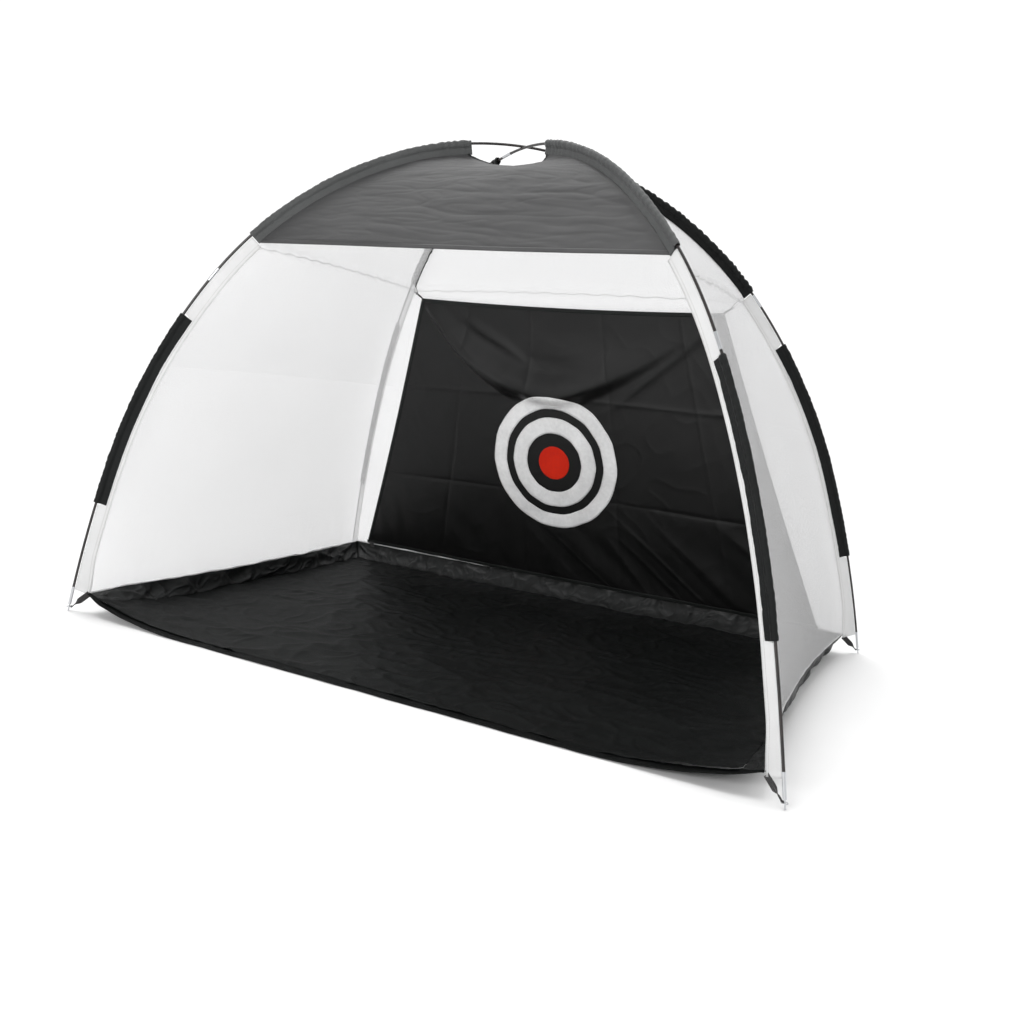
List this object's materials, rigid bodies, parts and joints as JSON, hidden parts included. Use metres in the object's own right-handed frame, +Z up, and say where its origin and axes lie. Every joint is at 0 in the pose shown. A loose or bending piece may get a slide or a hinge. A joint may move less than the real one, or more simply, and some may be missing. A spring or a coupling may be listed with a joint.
{
  "type": "golf chipping net",
  "caption": "Pop-up tent net with crossed bent poles, three mesh walls, a front hood, a tub floor and a hanging bull's-eye target for golf practice.",
  "frame": {"origin": "on the ground, under the middle of the bounding box", "axes": "+X to the right along the open front, +Y towards the rear, +Z up; the open front faces -Y"},
  "size_m": [3.001, 1.8006, 2],
  "materials": {
    "fibreglass_pole": "smooth, semi-gloss pultruded rod",
    "steel": "zinc-plated, bright",
    "elastic_cord": "braided elastic",
    "grey_polyester": "dark grey woven polyester, slight sheen",
    "black_polyester": "black woven polyester, gathered",
    "white_polyester": "white woven polyester strip",
    "white_mesh": "fine white knitted mesh, see-through",
    "black_satin": "black satin-faced polyester",
    "black_webbing": "black woven webbing and cord",
    "black_target_cloth": "black woven polyester with fold creases",
    "off_white_patch": "off-white sewn cloth rings",
    "red_patch": "red sewn cloth disc",
    "toggle_plastic": "moulded grey toggle bar"
  },
  "bodies": {
    "tent": {"pole_a_section_1": "fibreglass_pole", "pole_a_section_2": "fibreglass_pole", "pole_a_section_3": "fibreglass_pole", "pole_a_section_4": "fibreglass_pole", "pole_a_section_5": "fibreglass_pole", "pole_a_section_6": "fibreglass_pole", "pole_a_section_7": "fibreglass_pole", "pole_b_section_1": "fibreglass_pole", "pole_b_section_2": "fibreglass_pole", "pole_b_section_3": "fibreglass_pole", "pole_b_section_4": "fibreglass_pole", "pole_b_section_5": "fibreglass_pole", "pole_b_section_6": "fibreglass_pole", "pole_b_section_7": "fibreglass_pole", "pole_a_ferrules": "steel", "pole_b_ferrules": "steel", "pole_tips": "steel", "shock_cord_a": "elastic_cord", "shock_cord_b": "elastic_cord", "upper_sleeve_front_left": "grey_polyester", "upper_sleeve_front_right": "grey_polyester", "upper_sleeve_rear_left": "black_polyester", "upper_sleeve_rear_right": "black_polyester", "lower_sleeve_front_left": "black_polyester", "lower_sleeve_front_right": "black_polyester", "lower_sleeve_rear_left": "black_polyester", "lower_sleeve_rear_right": "black_polyester", "edge_web_front_left": "white_polyester", "edge_web_front_right": "white_polyester", "edge_web_rear_left": "white_polyester", "edge_web_rear_right": "white_polyester", "net_left": "white_mesh", "net_right": "white_mesh", "net_rear": "white_mesh", "hood": "grey_polyester", "floor_sheet": "black_satin", "skirt_left": "black_satin", "skirt_right": "black_satin", "skirt_rear": "black_satin", "front_hem": "black_satin", "corner_strap_front_left": "black_webbing", "corner_strap_front_right": "black_webbing", "corner_strap_rear_left": "black_webbing", "corner_strap_rear_right": "black_webbing", "toggle_loops": "black_webbing"},
    "target": {"target_cloth": "black_target_cloth", "target_outer_ring": "off_white_patch", "target_inner_ring": "off_white_patch", "bullseye": "red_patch", "target_tie_cords": "black_webbing", "target_bottom_tabs": "black_webbing"},
    "toggle_left": {"toggle_left": "toggle_plastic"},
    "toggle_right": {"toggle_right": "toggle_plastic"},
    "ring_front_left": {"corner_ring_front_left": "steel"},
    "ring_front_right": {"corner_ring_front_right": "steel"},
    "ring_rear_left": {"corner_ring_rear_left": "steel"},
    "ring_rear_right": {"corner_ring_rear_right": "steel"}
  },
  "joints": [
    {"name": "target_swing", "type": "hinge", "parent": "tent", "child": "target", "pos_m": [0, 0.46821, 1.48294], "axis": [-1, 0, 0], "range_deg": [0, 30]},
    {"name": "toggle_left_turn", "type": "hinge", "parent": "target", "child": "toggle_left", "pos_m": [-0.80334, 0.46821, 1.48294], "axis": [-0.8427, -0.0835, 0.5318], "range_deg": [-30, 30]},
    {"name": "toggle_right_turn", "type": "hinge", "parent": "target", "child": "toggle_right", "pos_m": [0.80334, 0.46821, 1.48294], "axis": [0.8427, -0.0835, 0.5318], "range_deg": [-30, 30]},
    {"name": "ring_front_left_swing", "type": "hinge", "parent": "tent", "child": "ring_front_left", "pos_m": [-1.4832, -0.88593, 0.0185], "axis": [0.5128, -0.8585, 0], "range_deg": [0, 25]},
    {"name": "ring_front_right_swing", "type": "hinge", "parent": "tent", "child": "ring_front_right", "pos_m": [1.4812, -0.88473, 0.01853], "axis": [0.5128, 0.8585, 0], "range_deg": [0, 25]},
    {"name": "ring_rear_left_swing", "type": "hinge", "parent": "tent", "child": "ring_rear_left", "pos_m": [-1.48112, 0.88469, 0.01851], "axis": [-0.5128, -0.8585, 0], "range_deg": [0, 25]},
    {"name": "ring_rear_right_swing", "type": "hinge", "parent": "tent", "child": "ring_rear_right", "pos_m": [1.48317, 0.88591, 0.0185], "axis": [-0.5128, 0.8585, 0], "range_deg": [0, 25]}
  ]
}
